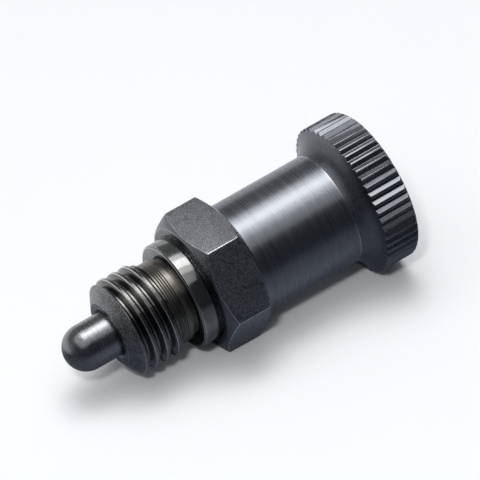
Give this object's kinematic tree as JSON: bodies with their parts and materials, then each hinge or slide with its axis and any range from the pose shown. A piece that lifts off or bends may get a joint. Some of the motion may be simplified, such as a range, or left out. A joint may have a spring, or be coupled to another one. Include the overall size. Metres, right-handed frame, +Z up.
{
  "type": "indexing plunger",
  "caption": "Indexing plunger: sprung steel locking pin in a threaded hexagon guide with a centring collar, drawn back by a knurled knob and sleeve.",
  "frame": {"origin": "on the ground under the middle of the plunger as it lies at rest on one hexagon flat and the rim of its knob", "axes": "+X towards the knob along the ground, +Z up; the plunger's own axis leans 4.16 degrees up from +X, as it does at rest"},
  "size_m": [0.044, 0.019, 0.0193],
  "materials": {
    "guide_steel": "black oxide steel, ground bright on the centring collar, grainy on the hexagon flats",
    "pin_steel": "hardened and blackened steel, satin",
    "knob_steel": "black oxide steel with fine turning marks round it",
    "spring_wire": "drawn spring wire",
    "bush_steel": "plain turned steel"
  },
  "bodies": {
    "guide": {"guide_body": "guide_steel", "retaining_bush": "bush_steel"},
    "spring": {"return_spring": "spring_wire"},
    "plunger": {"locking_pin": "pin_steel", "knob": "knob_steel"}
  },
  "joints": [
    {"name": "knob_turn", "type": "hinge", "parent": "guide", "child": "spring", "pos_m": [-0.00457, 0, 0.00796], "axis": [0.9974, 0, 0.0726], "continuous": true},
    {"name": "knob_pull", "type": "slide", "parent": "spring", "child": "plunger", "axis": [0.9974, 0, 0.0726], "range_m": [0, 0.006], "stiffness_N_per_m": 1800, "springref_m": -0.004, "deforming": ["return_spring"]}
  ]
}
